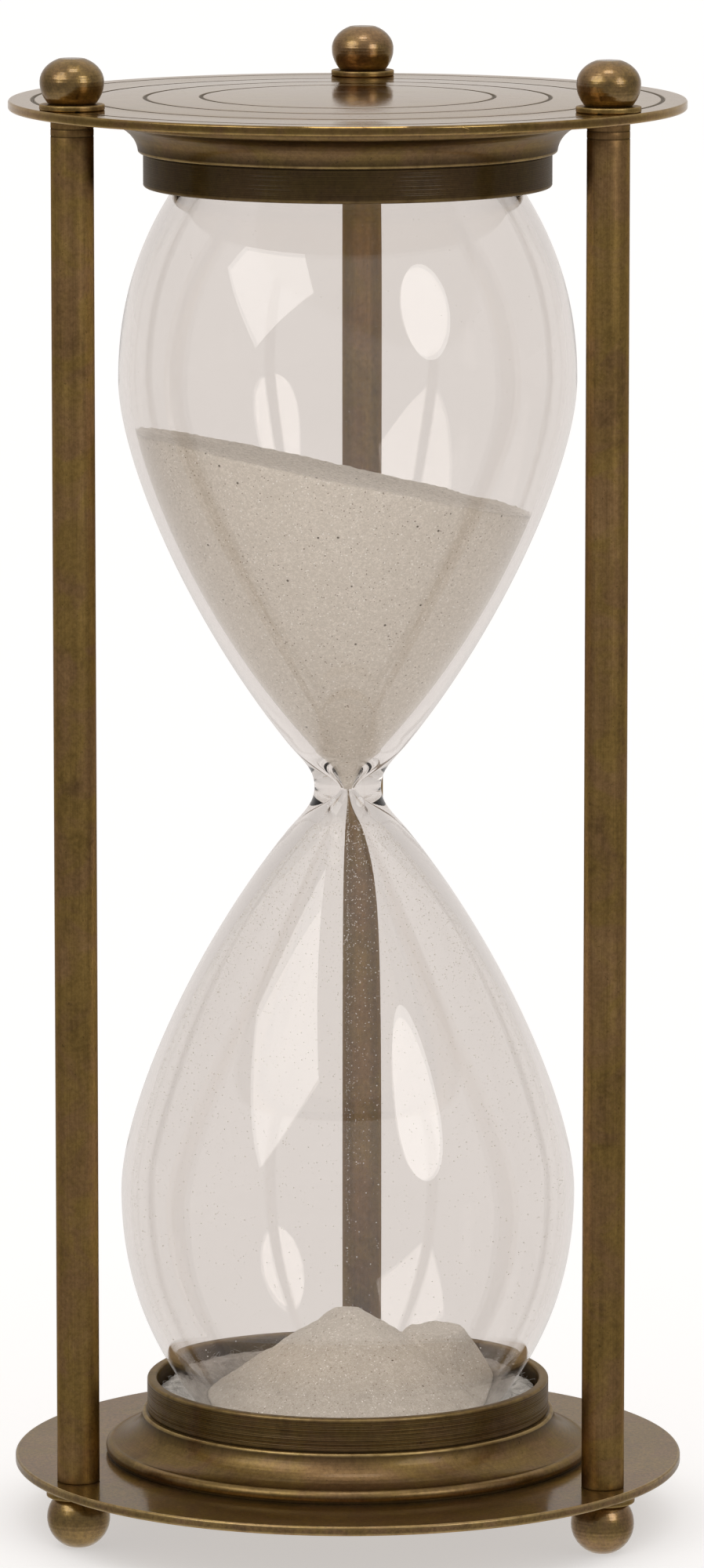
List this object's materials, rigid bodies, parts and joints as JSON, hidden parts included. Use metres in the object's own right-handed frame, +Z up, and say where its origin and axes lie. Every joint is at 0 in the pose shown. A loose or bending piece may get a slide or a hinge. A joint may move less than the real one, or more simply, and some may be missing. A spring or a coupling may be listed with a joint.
{
  "type": "hourglass",
  "caption": "Sand timer: a two-bulb blown glass held in cotton-packed collars between round brass plates on brass pillars with ball finials and ball feet.",
  "frame": {"origin": "on the table, under the centre of the plates", "axes": "+Z up along the axis of the glass; the back pillar is towards +Y and the other two are at the front left and front right"},
  "size_m": [0.127, 0.127, 0.2803],
  "materials": {
    "plate_brass": "aged, polished, turned grooves",
    "collar_brass": "aged, turned",
    "pillar_brass": "aged, drawn rod, mottled",
    "ball_brass": "aged, turned, polished",
    "glass": "clear blown glass, dusty inside",
    "cork": "cut cork",
    "sand": "fine pale sand",
    "cotton": "teased cotton wool"
  },
  "bodies": {
    "frame": {"bottom_plate": "plate_brass", "top_plate": "plate_brass", "bottom_collar": "collar_brass", "top_collar": "collar_brass", "pillar_left": "pillar_brass", "pillar_right": "pillar_brass", "pillar_back": "pillar_brass", "glass": "glass", "fill_stopper": "cork", "upper_sand": "sand", "lower_sand": "sand", "sand_stream": "sand", "top_wadding": "cotton", "bottom_wadding": "cotton"},
    "finial_left_washer": {"finial_washer_left": "ball_brass"},
    "finial_left_ball": {"finial_left": "ball_brass"},
    "finial_right_washer": {"finial_washer_right": "ball_brass"},
    "finial_right_ball": {"finial_right": "ball_brass"},
    "finial_back_washer": {"finial_washer_back": "ball_brass"},
    "finial_back_ball": {"finial_back": "ball_brass"},
    "foot_left_washer": {"foot_washer_left": "ball_brass"},
    "foot_left_ball": {"foot_left": "ball_brass"},
    "foot_right_washer": {"foot_washer_right": "ball_brass"},
    "foot_right_ball": {"foot_right": "ball_brass"},
    "foot_back_washer": {"foot_washer_back": "ball_brass"},
    "foot_back_ball": {"foot_back": "ball_brass"}
  },
  "joints": [
    {"name": "finial_left_turn", "type": "hinge", "parent": "frame", "child": "finial_left_washer", "pos_m": [-0.04936, -0.0285, 0.2708], "axis": [0, 0, 1], "range_deg": [0, 3240]},
    {"name": "finial_left_travel", "type": "slide", "parent": "finial_left_washer", "child": "finial_left_ball", "axis": [0, 0, 1], "range_m": [0, 0.0072]},
    {"name": "finial_right_turn", "type": "hinge", "parent": "frame", "child": "finial_right_washer", "pos_m": [0.04936, -0.0285, 0.2708], "axis": [0, 0, 1], "range_deg": [0, 3240]},
    {"name": "finial_right_travel", "type": "slide", "parent": "finial_right_washer", "child": "finial_right_ball", "axis": [0, 0, 1], "range_m": [0, 0.0072]},
    {"name": "finial_back_turn", "type": "hinge", "parent": "frame", "child": "finial_back_washer", "pos_m": [0, 0.057, 0.2708], "axis": [0, 0, 1], "range_deg": [0, 3240]},
    {"name": "finial_back_travel", "type": "slide", "parent": "finial_back_washer", "child": "finial_back_ball", "axis": [0, 0, 1], "range_m": [0, 0.0072]},
    {"name": "foot_left_turn", "type": "hinge", "parent": "frame", "child": "foot_left_washer", "pos_m": [-0.04936, -0.0285, 0.0107], "axis": [0, 0, -1], "range_deg": [0, 3240]},
    {"name": "foot_left_travel", "type": "slide", "parent": "foot_left_washer", "child": "foot_left_ball", "axis": [0, 0, -1], "range_m": [0, 0.0072]},
    {"name": "foot_right_turn", "type": "hinge", "parent": "frame", "child": "foot_right_washer", "pos_m": [0.04936, -0.0285, 0.0107], "axis": [0, 0, -1], "range_deg": [0, 3240]},
    {"name": "foot_right_travel", "type": "slide", "parent": "foot_right_washer", "child": "foot_right_ball", "axis": [0, 0, -1], "range_m": [0, 0.0072]},
    {"name": "foot_back_turn", "type": "hinge", "parent": "frame", "child": "foot_back_washer", "pos_m": [0, 0.057, 0.0107], "axis": [0, 0, -1], "range_deg": [0, 3240]},
    {"name": "foot_back_travel", "type": "slide", "parent": "foot_back_washer", "child": "foot_back_ball", "axis": [0, 0, -1], "range_m": [0, 0.0072]}
  ],
  "couplings": [
    {"joint": "finial_left_travel", "follows": "finial_left_turn", "m_per_rad": 0.0001273},
    {"joint": "finial_right_travel", "follows": "finial_right_turn", "m_per_rad": 0.0001273},
    {"joint": "finial_back_travel", "follows": "finial_back_turn", "m_per_rad": 0.0001273},
    {"joint": "foot_left_travel", "follows": "foot_left_turn", "m_per_rad": 0.0001273},
    {"joint": "foot_right_travel", "follows": "foot_right_turn", "m_per_rad": 0.0001273},
    {"joint": "foot_back_travel", "follows": "foot_back_turn", "m_per_rad": 0.0001273}
  ]
}
